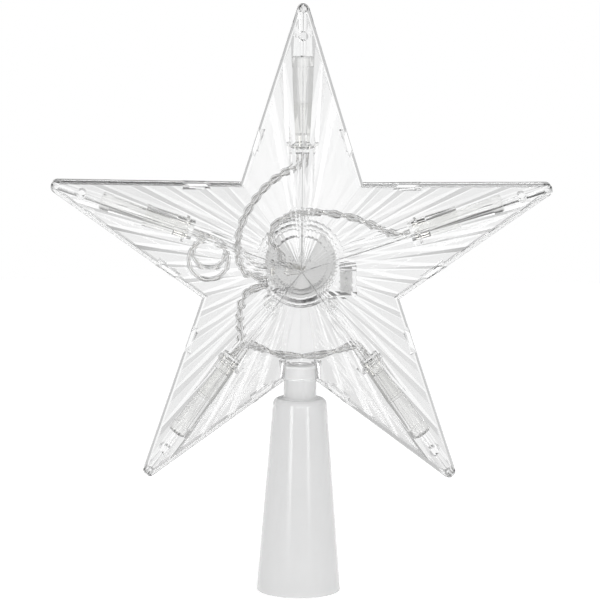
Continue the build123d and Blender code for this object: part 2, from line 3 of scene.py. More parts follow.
import bpy
from mathutils import Matrix, Vector


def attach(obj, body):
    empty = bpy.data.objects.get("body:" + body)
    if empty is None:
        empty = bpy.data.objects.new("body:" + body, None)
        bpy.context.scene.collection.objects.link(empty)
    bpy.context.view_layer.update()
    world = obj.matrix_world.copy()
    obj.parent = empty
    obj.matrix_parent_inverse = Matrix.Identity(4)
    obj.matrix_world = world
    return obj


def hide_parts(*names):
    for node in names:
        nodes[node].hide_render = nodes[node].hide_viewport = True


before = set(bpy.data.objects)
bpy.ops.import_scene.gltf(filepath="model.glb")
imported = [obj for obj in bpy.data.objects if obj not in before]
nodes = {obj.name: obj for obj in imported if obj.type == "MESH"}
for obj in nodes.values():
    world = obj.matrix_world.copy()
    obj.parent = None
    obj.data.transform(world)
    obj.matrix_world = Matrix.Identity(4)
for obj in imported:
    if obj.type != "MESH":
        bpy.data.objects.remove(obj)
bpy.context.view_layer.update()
scene = bpy.context.scene

# ---------------------------------------------------------------------------
# Dimensions in millimetres, as in the model. The star's centre is at height
# star_z, its front faces -Y.
# ---------------------------------------------------------------------------
star_z = 122.0
tip_r = 102.4
notch_r = 38.2
tip_fillet = 2.4
rim_half = 3.5
rim_land = 1.9
rim_wall = 1.6
rim_slope = 0.42            # the flat of the rim falls towards the edge
hollow_tip_r = 93.8
apex_depth = 15.0
shell_wall = 1.3
sleeve_r = 7.8
sleeve_bore_r = 6.2
sleeve_low = 80.5
sleeve_top = 86.6
pin_ring_r = 85.0
tongue_at = 0.77
tab_half = 0.054            # half of a tongue, as a share of the edge
rib_at = 45.0
rib_t = 1.0
rib_half_w = 4.1
holder_in = 41.9
holder_r = 3.6
# fan flutes on the inside, from the middle line of an arm to the notch: where each begins,
# how steep its sides are, and the share of its width that the steep side takes
borders = [math.radians(v) for v in (0.0, 3.0, 7.0, 12.0, 18.5, 26.5, 36.0)]
slopes = {
    90: [math.radians(v) for v in (24.0, 18.0, 11.0, 6.5, 5.0, 4.0)],
    162: [math.radians(v) for v in (9.0, 10.5, 10.5, 9.5, 9.0, 9.0)],
    234: [math.radians(v) for v in (20.0, 15.5, 11.5, 10.0, 9.0, 9.0)],
    306: [math.radians(v) for v in (20.0, 15.5, 11.5, 10.0, 9.0, 9.0)],
    18: [math.radians(v) for v in (9.0, 10.5, 10.5, 9.5, 9.0, 9.0)],
}
shares = (0.36, 0.28, 0.34, 0.27, 0.32, 0.29)
seam = 0.05                 # half the gap where the halves meet

edge_vec = (tip_r - notch_r * math.cos(math.radians(36)), notch_r * math.sin(math.radians(36)))
edge_len = math.hypot(*edge_vec)
edge_h = tip_r * edge_vec[1] / edge_len
tip_half = math.atan2(edge_vec[1], edge_vec[0])
facet_scale = (edge_h - rim_land) / edge_h
facet_tan = (apex_depth - rim_half) / (edge_h - rim_land)
inner_apex = apex_depth - shell_wall / math.cos(math.atan(facet_tan))
wall_scale = (edge_h - rim_wall) / edge_h
wall_top = inner_apex - (edge_h - rim_wall) * facet_tan

arms = {"top": 90.0, "right": 18.0, "lower_right": 306.0, "lower_left": 234.0, "left": 162.0}


def smooth(a, b, x):
    t = min(max((x - a) / (b - a), 0.0), 1.0)
    return t * t * (3 - 2 * t)


# ---------------------------------------------------------------------------
# Materials
# ---------------------------------------------------------------------------


def new_material(name):
    mat = bpy.data.materials.new(name)
    mat.use_nodes = True
    tree = mat.node_tree
    bsdf = tree.nodes["Principled BSDF"]
    coord = tree.nodes.new("ShaderNodeTexCoord")
    return mat, tree, bsdf, coord


def noise(tree, coord, scale, detail=3.0, rough=0.5, stretch=None):
    tex = tree.nodes.new("ShaderNodeTexNoise")
    tex.inputs["Scale"].default_value = scale
    tex.inputs["Detail"].default_value = detail
    tex.inputs["Roughness"].default_value = rough
    if stretch is None:
        tree.links.new(coord.outputs["Object"], tex.inputs["Vector"])
    else:
        mapping = tree.nodes.new("ShaderNodeMapping")
        mapping.inputs["Scale"].default_value = stretch
        tree.links.new(coord.outputs["Object"], mapping.inputs["Vector"])
        tree.links.new(mapping.outputs["Vector"], tex.inputs["Vector"])
    return tex


def ramp(tree, source, stops):
    node = tree.nodes.new("ShaderNodeValToRGB")
    while len(node.color_ramp.elements) < len(stops):
        node.color_ramp.elements.new(0.5)
    for element, (pos, colour) in zip(node.color_ramp.elements, stops):
        element.position = pos
        element.color = (*colour, 1.0)
    tree.links.new(source, node.inputs["Fac"])
    return node


def spread(tree, source, low, high):
    node = tree.nodes.new("ShaderNodeMapRange")
    node.inputs["To Min"].default_value = low
    node.inputs["To Max"].default_value = high
    tree.links.new(source, node.inputs["Value"])
    return node


def bump(tree, bsdf, source, strength, distance):
    node = tree.nodes.new("ShaderNodeBump")
    node.inputs["Strength"].default_value = strength
    node.inputs["Distance"].default_value = distance
    tree.links.new(source, node.inputs["Height"])
    tree.links.new(node.outputs["Normal"], bsdf.inputs["Normal"])


def clear_plastic(name, low, high, rough, ior, wave=0.0, weight=1.0, grain=60.0):
    mat, tree, bsdf, coord = new_material(name)
    cloud = noise(tree, coord, grain, 4.0)
    tint = ramp(tree, cloud.outputs["Fac"], [(0.35, low), (0.65, high)])
    tree.links.new(tint.outputs["Color"], bsdf.inputs["Base Color"])
    fine = noise(tree, coord, grain * 9, 5.0, 0.6)
    r = spread(tree, fine.outputs["Fac"], rough[0], rough[1])
    tree.links.new(r.outputs["Result"], bsdf.inputs["Roughness"])
    bsdf.inputs["Transmission Weight"].default_value = weight
    bsdf.inputs["IOR"].default_value = ior
    if wave:
        sway = noise(tree, coord, 34.0, 1.0, 0.4)
        bump(tree, bsdf, sway.outputs["Fac"], 1.0, wave)
    return mat


def metal(name, low, high, rough, stretch, grain=900.0):
    mat, tree, bsdf, coord = new_material(name)
    streak = noise(tree, coord, grain, 4.0, 0.6, stretch)
    tint = ramp(tree, streak.outputs["Fac"], [(0.3, low), (0.7, high)])
    tree.links.new(tint.outputs["Color"], bsdf.inputs["Base Color"])
    r = spread(tree, streak.outputs["Fac"], rough[0], rough[1])
    tree.links.new(r.outputs["Result"], bsdf.inputs["Roughness"])
    bsdf.inputs["Metallic"].default_value = 1.0
    bump(tree, bsdf, streak.outputs["Fac"], 0.25, 0.00005)
    return mat


def solid_plastic(name, low, high, rough, scatter=0.0, grain=160.0, depth=0.004):
    mat, tree, bsdf, coord = new_material(name)
    cloud = noise(tree, coord, grain, 5.0, 0.6)
    tint = ramp(tree, cloud.outputs["Fac"], [(0.3, low), (0.7, high)])
    tree.links.new(tint.outputs["Color"], bsdf.inputs["Base Color"])
    fine = noise(tree, coord, grain * 14, 3.0, 0.6)
    r = spread(tree, fine.outputs["Fac"], rough[0], rough[1])
    tree.links.new(r.outputs["Result"], bsdf.inputs["Roughness"])
    bump(tree, bsdf, fine.outputs["Fac"], 0.25, 0.00004)
    if scatter:
        bsdf.inputs["Subsurface Weight"].default_value = scatter
        bsdf.inputs["Subsurface Radius"].default_value = (1.0, 1.0, 1.0)
        bsdf.inputs["Subsurface Scale"].default_value = depth
    return mat


clear_shell = clear_plastic("clear_shell", (0.985, 0.987, 0.987), (0.997, 0.997, 0.997), (0.0, 0.03), 1.52, 0.00006)
satin_shell = clear_plastic("satin_shell", (0.985, 0.987, 0.987), (0.997, 0.997, 0.997), (0.0, 0.03), 1.52)


def maths(tree, operation, one, two):
    node = tree.nodes.new("ShaderNodeMath")
    node.operation = operation
    for socket, value in zip(node.inputs, (one, two)):
        if isinstance(value, (int, float)):
            socket.default_value = value
        else:
            tree.links.new(value, socket)
    return node.outputs["Value"]


def across(tree, name, mask, other):
    """Carries an input over to another value where the mask is 1."""
    socket = tree.nodes["Principled BSDF"].inputs[name]
    was = socket.links[0].from_socket
    node = tree.nodes.new("ShaderNodeMix")
    if name == "Base Color":
        node.data_type = "RGBA"
        node.inputs[7].default_value = (*other, 1.0)
        tree.links.new(was, node.inputs[6])
        tree.links.new(node.outputs[2], socket)
    else:
        node.inputs[3].default_value = other
        tree.links.new(was, node.inputs[2])
        tree.links.new(node.outputs[0], socket)
    tree.links.new(mask, node.inputs["Factor"])


def object_axes(tree):
    place = tree.nodes.new("ShaderNodeTexCoord")
    parts = tree.nodes.new("ShaderNodeSeparateXYZ")
    tree.links.new(place.outputs["Object"], parts.inputs["Vector"])
    return parts.outputs["X"], parts.outputs["Z"]


# painted shade: the shells' colour is darker in the V between the lower arms
for mat in (clear_shell, satin_shell):
    tree = mat.node_tree
    ax, az = object_axes(tree)
    ax = maths(tree, "MULTIPLY", maths(tree, "ABSOLUTE", ax, 0.0), 1.376)
    low = maths(tree, "LESS_THAN", ax, maths(tree, "SUBTRACT", star_z * 0.001, az))
    across(tree, "Base Color", low, (0.94, 0.94, 0.94))

# satin patch below the hub, wider towards the stem
tree = satin_shell.node_tree
ax, az = object_axes(tree)
ax = maths(tree, "ABSOLUTE", ax, 0.0)
half = maths(tree, "MULTIPLY_ADD", az, -0.09)
half.node.inputs[2].default_value = 0.0046 + 0.09 * 0.108
patch = maths(tree, "LESS_THAN", ax, half)
patch = maths(tree, "MULTIPLY", patch, maths(tree, "LESS_THAN", az, 0.108))
patch = maths(tree, "MULTIPLY", patch, maths(tree, "GREATER_THAN", az, 0.088))
across(tree, "Roughness", patch, 0.42)
across(tree, "Base Color", patch, (0.88, 0.88, 0.883))

clear_bulb = clear_plastic("clear_bulb", (0.87, 0.87, 0.862), (0.92, 0.92, 0.912), (0.06, 0.14), 1.17, 0.00004)
clear_holder = clear_plastic("clear_holder", (0.95, 0.95, 0.945), (0.985, 0.985, 0.98), (0.02, 0.08), 1.14)
clear_case = clear_plastic("clear_case", (0.775, 0.775, 0.773), (0.845, 0.845, 0.843), (0.04, 0.12), 1.2, 0.00004)
# painted light and shade: within 13.4 mm of the middle the case is painted darker, apart from the V above the middle,
# which is painted light like the ring outside it
tree = clear_case.node_tree
ax, az = object_axes(tree)
ax = maths(tree, "ABSOLUTE", ax, 0.0)
az = maths(tree, "SUBTRACT", az, star_z * 0.001)
top = maths(tree, "LESS_THAN", maths(tree, "MULTIPLY", ax, 1.376), az)
rim = maths(tree, "GREATER_THAN", maths(tree, "ADD", maths(tree, "MULTIPLY", ax, ax), maths(tree, "MULTIPLY", az, az)), 0.0134**2)
across(tree, "Base Color", maths(tree, "MAXIMUM", top, rim), (0.975, 0.975, 0.975))
clear_wire = clear_plastic("clear_wire", (0.975, 0.975, 0.975), (0.995, 0.995, 0.995), (0.0, 0.05), 1.33)
wire_core = metal("wire_core", (0.55, 0.54, 0.53), (0.78, 0.77, 0.75), (0.22, 0.36), (1.0, 1.0, 1.0), 1500.0)
contact_metal = metal("contact_metal", (0.58, 0.57, 0.545), (0.68, 0.67, 0.645), (0.42, 0.56), (1.0, 1.0, 0.1), 900.0)
screw_steel = metal("screw_steel", (0.55, 0.55, 0.55), (0.75, 0.75, 0.74), (0.20, 0.35), (1.0, 0.15, 1.0), 900.0)
clear_gland = clear_plastic("clear_gland", (0.96, 0.96, 0.96), (0.99, 0.99, 0.99), (0.0, 0.04), 1.08, 0.00004)
switch_black = solid_plastic("switch_black", (0.50, 0.50, 0.497), (0.58, 0.58, 0.577), (0.32, 0.46))
switch_white = solid_plastic("switch_white", (0.76, 0.76, 0.75), (0.84, 0.84, 0.83), (0.32, 0.46))
frosted_stem = solid_plastic("frosted_stem", (0.720, 0.721, 0.722), (0.738, 0.739, 0.740), (0.13, 0.20), 0.3, 70.0, 0.004)

# ---------------------------------------------------------------------------
# Mesh helpers. Meshes are made in millimetres and scaled when they are done.
# ---------------------------------------------------------------------------


def mesh_object(name, verts, faces):
    mesh = bpy.data.meshes.new(name)
    mesh.from_pydata([tuple(v) for v in verts], [], faces)
    mesh.validate()
    obj = bpy.data.objects.new(name, mesh)
    scene.collection.objects.link(obj)
    return obj


def prism(name, outline, origin, x_dir, y_dir, depth):
    """Closed solid: an outline in a plane, pushed along depth."""
    base = [Vector(origin) + Vector(x_dir) * a + Vector(y_dir) * b for a, b in outline]
    n = len(base)
    verts = base + [p + Vector(depth) for p in base]
    faces = [list(range(n))[::-1], list(range(n, 2 * n))]
    faces += [[i, (i + 1) % n, n + (i + 1) % n, n + i] for i in range(n)]
    if Vector(x_dir).cross(Vector(y_dir)).dot(Vector(depth)) < 0:
        faces = [f[::-1] for f in faces]
    return mesh_object(name, verts, faces)


def circle(r, n=48, start=0.0, sweep=360.0):
    full = abs(sweep - 360.0) < 1e-6
    count = n if full else n + 1
    return [(r * math.cos(math.radians(start + sweep * i / n)), r * math.sin(math.radians(start + sweep * i / n))) for i in range(count)]


def combine(target, tool, operation):
    """Joins a solid to the target, or cuts it away, and removes the solid."""
    mod = target.modifiers.new("cut", "BOOLEAN")
    mod.operation = operation
    mod.solver = "MANIFOLD"
    mod.object = tool
    bpy.context.view_layer.update()
    graph = bpy.context.evaluated_depsgraph_get()
    made = bpy.data.meshes.new_from_object(target.evaluated_get(graph), depsgraph=graph)
    target.modifiers.clear()
    while made.materials and made.materials[-1] is None:
        made.materials.pop()
    old = target.data
    target.data = made
    bpy.data.meshes.remove(old)
    spent = tool.data
    bpy.data.objects.remove(tool)
    bpy.data.meshes.remove(spent)


def dress(obj, body, slot, mats, *replaced):
    if not obj.data.materials:
        for mat in mats:
            obj.data.materials.append(mat)
    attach(obj, body)
    if replaced:
        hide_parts(*replaced)


# ---------------------------------------------------------------------------
# The two halves of the star
# ---------------------------------------------------------------------------


def unit(angle):
    a = math.radians(angle)
    return Vector((math.cos(a), math.sin(a)))


def edge_angle(u):
    """Angle from the arm's middle line, seen from the hub, of a place on the edge from tip to notch."""
    return math.atan2(edge_vec[1] * u, tip_r - edge_vec[0] * u)


def edge_place(angle):
    return tip_r * math.tan(angle) / (edge_vec[1] + edge_vec[0] * math.tan(angle))


def columns():
    """Round the outline: tip direction, side, place on the edge from tip to notch, and notch direction."""
    places = []
    for i in range(len(shares)):
        low, high = borders[i], borders[i + 1]
        steps = 12 if i == 0 else 4
        places += [edge_place(low + (high - low) * j / steps) for j in range(steps)]
        places += [edge_place(low + (high - low) * t) for t in (shares[i], 1 - shares[i])]
    for way in (-1, 1):
        places += [tongue_at + way * tab_half, tongue_at + way * (tab_half + 0.002)]
    places.sort()
    cols = []
    for k in range(5):
        tip = 90 + 72 * k
        cols += [(tip, 1, u, tip + 36) for u in places]
        cols += [(tip + 72, -1, u, tip + 36) for u in [1.0] + places[:0:-1]]
    return cols


def edge_point(col):
    tip, side, u, notch = col
    return unit(tip) * tip_r * (1 - u) + unit(notch) * notch_r * u


def outline_point(col, inset=0.0):
    """The rim, with its rounded tips."""
    tip, side, u, notch = col
    reach = tip_fillet / math.tan(tip_half) / edge_len
    k = (edge_h - inset) / edge_h
    if u >= reach:
        return edge_point(col) * k
    axis = unit(tip)
    across = Vector((-axis.y, axis.x)) * side
    centre = axis * (tip_r - tip_fillet / math.sin(tip_half))
    psi = (u / reach) * (math.pi / 2 - tip_half)
    return (centre + (axis * math.cos(psi) + across * math.sin(psi)) * tip_fillet) * k


def hollow_point(col):
    """The inside of the rim, with each tip cut square."""
    p = edge_point(col) * wall_scale
    axis = unit(col[0])
    over = p.dot(axis) - hollow_tip_r
    return p - axis * over if over > 0 else p


def flute(col, s):
    """How far the inside stands in at a place on a facet: straight-sided ridges that run out from the hub."""
    tip, side, u, notch = col
    angle = edge_angle(u)
    i = max(k for k in range(len(shares)) if borders[k] <= angle + 1e-9)
    if notch % 360 == 270 and i == len(shares) - 1:
        return 0.0
    low, high = borders[i], borders[i + 1]
    lean = math.cos(math.radians(tip)) * side
    share = shares[i] if lean > 0.1 else 1 - shares[i] if lean < -0.1 else 0.5
    near, far = (angle - low) / share, (high - angle) / (1 - share)
    across = min(near, far) * min(share, 1 - share)
    return math.tan(slopes[tip % 360][i]) * s * edge_point(col).length * math.sin(max(across, 0.0))


def rim_fall(col):
    """The flat of the rim falls to the edge, and stays level where a tongue holds."""
    return 0.0 if abs(col[2] - tongue_at) < tab_half + 0.001 else rim_slope


def shell(name, front):
    sign = -1.0 if front else 1.0
    cols = columns()
    n = len(cols)
    verts, faces, satin = [], [], set()

    def put(p, depth):
        verts.append((p.x, sign * depth, star_z + p.y))
        return len(verts) - 1

    rings = []
    outer_rows = [0.12, 0.3, 0.5, 0.7, 0.85, 1.0]
    inner_rows = [i / 12 for i in range(12, 0, -1)]
    apex = put(Vector((0, 0)), apex_depth)
    for s in outer_rows:
        rings.append([put(edge_point(c) * facet_scale * s, apex_depth - s * (apex_depth - rim_half)) for c in cols])
    rings.append([put(outline_point(c, 0.25), rim_half - rim_fall(c) * (rim_land - 0.25)) for c in cols])
    rings.append([put(outline_point(c), rim_half - rim_fall(c) * rim_land - 0.2) for c in cols])
    rings.append([put(outline_point(c), seam) for c in cols])
    rings.append([put(hollow_point(c), seam) for c in cols])
    first_inner = len(rings)
    for s in inner_rows:
        rings.append([put(hollow_point(c) * s, inner_apex - s * (inner_apex - wall_top) - flute(c, s)) for c in cols])
    last = put(Vector((0, 0)), inner_apex)

    def quad(a, b, c, d):
        faces.append([a, b, c, d] if front else [d, c, b, a])

    def tri(a, b, c):
        faces.append([a, b, c] if front else [c, b, a])

    for i in range(n):
        j = (i + 1) % n
        tri(apex, rings[0][i], rings[0][j])
        for k in range(len(rings) - 1):
            if k >= first_inner:
                s = inner_rows[k - first_inner]
                c = cols[i] if cols[i][2] > cols[j][2] else cols[j]
                if c[3] % 360 == 270 and min(cols[i][2], cols[j][2]) >= edge_place(borders[-3]) - 1e-6:
                    satin.add(len(faces))
            quad(rings[k][i], rings[k + 1][i], rings[k + 1][j], rings[k][j])
        tri(rings[-1][i], last, rings[-1][j])
    obj = mesh_object(name, verts, faces)
    obj.data.materials.append(clear_shell)
    obj.data.materials.append(satin_shell)
    if not front:
        for f in satin:
            obj.data.polygons[f].material_index = 1
    out = Vector((0, sign, 0))

    # posts that meet at the seam
    for angle in arms.values():
        d = unit(angle)
        at = (d.x * pin_ring_r, sign * seam, star_z + d.y * pin_ring_r)
        combine(obj, prism("t", circle(1.6, 120), at, (1, 0, 0), (0, 0, 1), out * 3.6), "UNION")

    # snap tongues
    if front:
        for k in range(5):
            for side in (1, -1):
                tip, notch = unit(90 + 72 * k) * tip_r, unit(90 + 72 * k + 36 * side) * notch_r
                p = tip + (notch - tip) * tongue_at
                along = (notch - tip).normalized()
                inward = Vector((-along.y, along.x))
                if inward.dot(p) > 0:
                    inward = -inward
                for low, high, near, far in ((-2.2, -0.2, 1.4, 2.68), (-0.4, 1.8, 1.68, 2.68)):
                    q = p + inward * near
                    combine(
                        obj,
                        prism(
                            "t",
                            [(-4, 0), (4, 0), (4, far - near), (-4, far - near)],
                            (q.x, low, star_z + q.y),
                            (along.x, 0, along.y),
                            (inward.x, 0, inward.y),
                            (0, high - low, 0),
                        ),
                        "UNION",
                    )

    # cradle ribs under the lamps
    for angle in arms.values():
        d = unit(angle)
        h_mid = rib_at * math.cos(math.radians(72.4))
        top = inner_apex - facet_tan * h_mid + 0.4
        shoulder = inner_apex - facet_tan * (h_mid + rib_half_w * 0.953) + 0.4
        notch = [(-x, y) for x, y in circle(holder_r + 0.05, 60, 2, 176)]
        profile = [(-rib_half_w, 0.1)] + notch + [(rib_half_w, 0.1), (rib_half_w, shoulder), (0, top), (-rib_half_w, shoulder)]
        at = (d.x * (rib_at - rib_t / 2), 0, star_z + d.y * (rib_at - rib_t / 2))
        combine(obj, prism("t", profile, at, (-d.y, 0, d.x), out, (d.x * rib_t, 0, d.y * rib_t)), "UNION")

    # half sleeve that takes the stem's neck
    half = circle(sleeve_r, 80, 180 if front else 0, 180)
    combine(obj, prism("t", half, (0, 0, sleeve_low), (1, 0, 0), (0, 1, 0), (0, 0, sleeve_top - sleeve_low)), "UNION")
    combine(obj, prism("t", circle(sleeve_bore_r, 120), (0, 0, 60), (1, 0, 0), (0, 1, 0), (0, 0, sleeve_top + 0.5 - 60)), "DIFFERENCE")

    # opening, window and collar for the battery case
    if not front:
        for angle in (90, 234, 306):
            d = unit(angle)
            at = (d.x * 18.5, 5.06, star_z + d.y * 18.5)
            combine(obj, prism("t", circle(2.3, 120), at, (1, 0, 0), (0, 0, 1), (0, 6.1, 0)), "UNION")
            combine(obj, prism("t", circle(1.02, 120), (at[0], 4.5, at[2]), (1, 0, 0), (0, 0, 1), (0, 5.1, 0)), "DIFFERENCE")
        window = [(9.88, -12.02), (20.62, -12.02), (20.62, -0.78), (9.88, -0.78)]
        centre = (0, 0, star_z)
        combine(obj, prism("t", circle(14.6, 120), (0, -1, star_z), (1, 0, 0), (0, 0, 1), (0, 30, 0)), "DIFFERENCE")
        combine(obj, prism("t", window, (0, -1, star_z), (1, 0, 0), (0, 0, 1), (0, 30, 0)), "DIFFERENCE")
        collar = prism("c", circle(16.2, 120), (0, 5.06, star_z), (1, 0, 0), (0, 0, 1), (0, 8.94, 0))
        collar.data.materials.append(clear_shell)
        combine(collar, prism("t", circle(14.6, 120), (0, 0, star_z), (1, 0, 0), (0, 0, 1), (0, 30, 0)), "DIFFERENCE")
        combine(collar, prism("t", window, (0, 0, star_z), (1, 0, 0), (0, 0, 1), (0, 30, 0)), "DIFFERENCE")
        combine(obj, collar, "UNION")

    obj.data.transform(Matrix.Scale(0.001, 4))
    obj.data.shade_smooth()
    obj.data.set_sharp_from_angle(angle=math.radians(3.6))
    points = obj.data.vertices
    for edge in obj.data.edges:
        p, q = points[edge.vertices[0]].co, points[edge.vertices[1]].co
        if abs(p.x - q.x) + abs(p.z - q.z) < 1e-6 and math.hypot(p.x, p.z - star_z * 0.001) > 0.0955:
            edge.use_edge_sharp = False
    return obj


front_star = shell("front_star", True)
rear_star = shell("rear_star", False)
dress(front_star, "star", "clear_shell", [clear_shell, satin_shell], "front_shell")
dress(rear_star, "star", "clear_shell", [clear_shell], "rear_shell")

# ---------------------------------------------------------------------------
# Wires: twisted pairs, and one single wire with two loops
# ---------------------------------------------------------------------------


def lamp_end(name, y, back=0.0):
    d = unit(arms[name]) * (holder_in - back)
    return (d.x, y, d.y)


def loop_points():
    pts = []
    for i in range(25):
        s = i / 24
        b = smooth(0.4, 0.6, s)
        cx, cz, r = -34.0 + 0.2 * b, 2.4 + 2.6 * b, 7.5 - 1.4 * b
        a = math.radians(70 - 720 * s)
        pts.append((cx + r * math.cos(a), -1.9 + 3.8 * s, cz + r * math.sin(a)))
    return pts


routes = {
    "wire_top": [
        lamp_end("top", -1.0), lamp_end("top", -1.0, 2.8), (-2.7, -1.2, 36.9), (-7.6, -1.4, 34.2), (-13.0, -1.6, 29.9), (-17.4, -1.7, 24.5),
        (-21.1, -2.2, 18.5), (-23.3, -3.0, 12.0), (-23.6, -3.0, 5.2), (-22.0, -3.0, -0.6), (-17.6, -3.0, -3.8), (-12.25, -3.0, -3.8),
    ],
    "wire_right": [
        lamp_end("right", -0.6), lamp_end("right", -0.6, 4.6), (30.0, -1.2, 13.6), (23.2, -1.5, 16.9), (15.6, -1.6, 19.0), (7.6, -1.6, 20.3),
        (-0.6, -1.6, 20.2), (-7.4, -1.6, 17.9), (-11.3, -1.6, 13.4), (-11.2, -1.6, 8.2), (-7.3, -1.6, 5.0), (-7.3, -1.6, 1.05),
    ],
    "wire_bottom": [
        lamp_end("lower_left", -1.68), lamp_end("lower_left", -1.68, 3.6), (-18.9, -1.68, -28.9), (-14.4, -1.6, -30.4), (-8.0, -1.3, -32.9),
        (-0.6, -1.0, -33.4), (6.8, -0.9, -33.1), (13.4, -0.7, -31.4), (18.8, -0.4, -29.3), lamp_end("lower_right", -0.4, 3.6),
        lamp_end("lower_right", -0.4),
    ],
    "wire_lower_left": [
        (-12.25, -1.6, -7.3), (-16.6, -1.6, -7.3), (-20.6, -0.8, -10.6), (-22.6, 0.2, -16.0), (-22.5, 1.1, -22.4), (-21.6, 1.6, -27.4),
        lamp_end("lower_left", 1.68, 3.6), lamp_end("lower_left", 1.68),
    ],
    "wire_left": [lamp_end("left", -1.9), lamp_end("left", -1.9, 3.6)] + loop_points()
    + [(-26.4, 2.0, 8.4), (-21.8, 1.8, 4.8), (-18.2, 1.4, 1.2), (-15.4, 1.2, -0.9), (-12.25, 1.2, -0.9)],
}


def centre_line(points):
    curve = bpy.data.curves.new("route", "CURVE")
    curve.dimensions = "3D"
    spline = curve.splines.new("NURBS")
    spline.points.add(len(points) - 1)
    for p, (x, y, z) in zip(spline.points, points):
        p.co = (x, y, z + star_z, 1.0)
    spline.order_u = 3
    spline.use_endpoint_u = True
    spline.resolution_u = 14
    obj = bpy.data.objects.new("route", curve)
    scene.collection.objects.link(obj)
    bpy.context.view_layer.update()
    graph = bpy.context.evaluated_depsgraph_get()
    mesh = bpy.data.meshes.new_from_object(obj.evaluated_get(graph), depsgraph=graph)
    line = [v.co.copy() for v in mesh.vertices]
    bpy.data.meshes.remove(mesh)
    bpy.data.objects.remove(obj)
    bpy.data.curves.remove(curve)
    clean = [line[0]]
    for p in line[1:]:
        if (p - clean[-1]).length > 1e-4:
            clean.append(p)
    return clean


def line_frames(line):
    """Along, across and third direction at each point, carried along without twist."""
    frames = []
    across = None
    for i in range(len(line)):
        along = (line[min(i + 1, len(line) - 1)] - line[max(i - 1, 0)]).normalized()
        if across is None:
            across = along.cross(Vector((0, 1, 0.1))).normalized()
        across = (across - along * across.dot(along)).normalized()
        frames.append((along, across, along.cross(across)))
    return frames


def tube(line, radius, sides, verts, faces, groups, group):
    rows = line_frames(line)
    start = len(verts)
    for p, (along, a, b) in zip(line, rows):
        for k in range(sides):
            t = 2 * math.pi * k / sides
            verts.append(p + (a * math.cos(t) + b * math.sin(t)) * radius)
    m = len(line)
    for i in range(m - 1):
        for k in range(sides):
            q = (k + 1) % sides
            faces.append([start + i * sides + k, start + i * sides + q, start + (i + 1) * sides + q, start + (i + 1) * sides + k])
            groups.append(group)
    faces.append([start + k for k in range(sides)][::-1])
    groups.append(group)
    faces.append([start + (m - 1) * sides + k for k in range(sides)])
    groups.append(group)


def strand(line, offset, pitch, phase):
    rows = line_frames(line)
    out, run = [], 0.0
    for i, (p, (along, a, b)) in enumerate(zip(line, rows)):
        if i:
            run += (p - line[i - 1]).length
        t = phase + 2 * math.pi * run / pitch
        out.append(p + (a * math.cos(t) + b * math.sin(t)) * offset)
    return out


twist = {"wire_top": 10.0, "wire_right": 15.0, "wire_bottom": 24.0, "wire_lower_left": 9.0}

for name, points in routes.items():
    line = centre_line(points)
    verts, faces, groups = [], [], []
    if name in twist:
        for phase in (0.4, 0.4 + math.pi):
            one = strand(line, 0.76, twist[name], phase)
            tube(one, 0.74, 12, verts, faces, groups, 0)
            tube(one, 0.16, 8, verts, faces, groups, 1)
    else:
        tube(line, 0.84, 14, verts, faces, groups, 0)
        tube(line, 0.18, 8, verts, faces, groups, 1)
    piece = mesh_object(name + "_strands", verts, faces)
    piece.data.transform(Matrix.Scale(0.001, 4))
    piece.data.shade_smooth()
    piece.data.set_sharp_from_angle(angle=math.radians(50))
    for mat in (clear_wire, wire_core):
        piece.data.materials.append(mat)
    for face, group in zip(piece.data.polygons, groups):
        face.material_index = group
    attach(piece, "star")
    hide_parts(name)

# ---------------------------------------------------------------------------
# Gland on the battery case, with a collar where each wire goes in
# ---------------------------------------------------------------------------


def rounded(low, high, r, n=10):
    """Rectangle with round corners, anticlockwise."""
    out = []
    for (cx, cy), start in (((high[0] - r, high[1] - r), 0), ((low[0] + r, high[1] - r), 90), ((low[0] + r, low[1] + r), 180), ((high[0] - r, low[1] + r), 270)):
        out += [(cx + x, cy + y) for x, y in circle(r, n, start, 90)]
    return out


gland = prism("gland", rounded((-11.4, -9.0), (-3.2, 0.4), 1.6), (0, -4.4, star_z), (1, 0, 0), (0, 0, 1), (0, 7.3, 0))
gland.data.materials.append(clear_gland)
combine(gland, prism("t", rounded((-10.8, -8.4), (-3.8, -0.2), 1.2), (0, -5.0, star_z), (1, 0, 0), (0, 0, 1), (0, 0.8, 0)), "UNION")
for r, y, z in ((1.9, -3.0, -3.8), (1.9, -1.6, -7.3), (1.2, 1.2, -0.9)):
    combine(gland, prism("t", circle(r, 64), (-12.15, y, star_z + z), (0, 1, 0), (0, 0, 1), (1.2, 0, 0)), "UNION")
combine(gland, prism("t", circle(1.9, 64), (-7.3, -1.6, star_z - 0.2), (1, 0, 0), (0, 1, 0), (0, 0, 1.15)), "UNION")
gland.data.transform(Matrix.Scale(0.001, 4))
gland.data.shade_smooth()
gland.data.set_sharp_from_angle(angle=math.radians(20))
dress(gland, "star", "clear_case", [clear_gland], "wire_gland")

# ---------------------------------------------------------------------------
# Finishes of the pieces that keep their own shape
# ---------------------------------------------------------------------------
finish = {
    "stem_cone": frosted_stem,
    "lamp_contacts": contact_metal,
    "battery_case": clear_case,
    "battery_door": clear_case,
    "negative_contact": contact_metal,
    "positive_contact": contact_metal,
    "switch_body": switch_black,
    "switch_knob": switch_white,
    "case_screws": screw_steel,
}
for arm in arms:
    finish["led_bulb_" + arm] = clear_bulb
    finish["lamp_holder_" + arm] = clear_holder
for name, mat in finish.items():
    obj = nodes[name]
    obj.data.materials.clear()
    obj.data.materials.append(mat)
    for face in obj.data.polygons:
        face.material_index = 0

# clear plastic lets the light through to what is inside
inner = [nodes[kind + arm] for kind in ("led_bulb_", "lamp_holder_") for arm in arms]
for obj in [front_star, rear_star, gland, nodes["battery_case"], nodes["battery_door"]] + inner:
    obj.visible_shadow = False

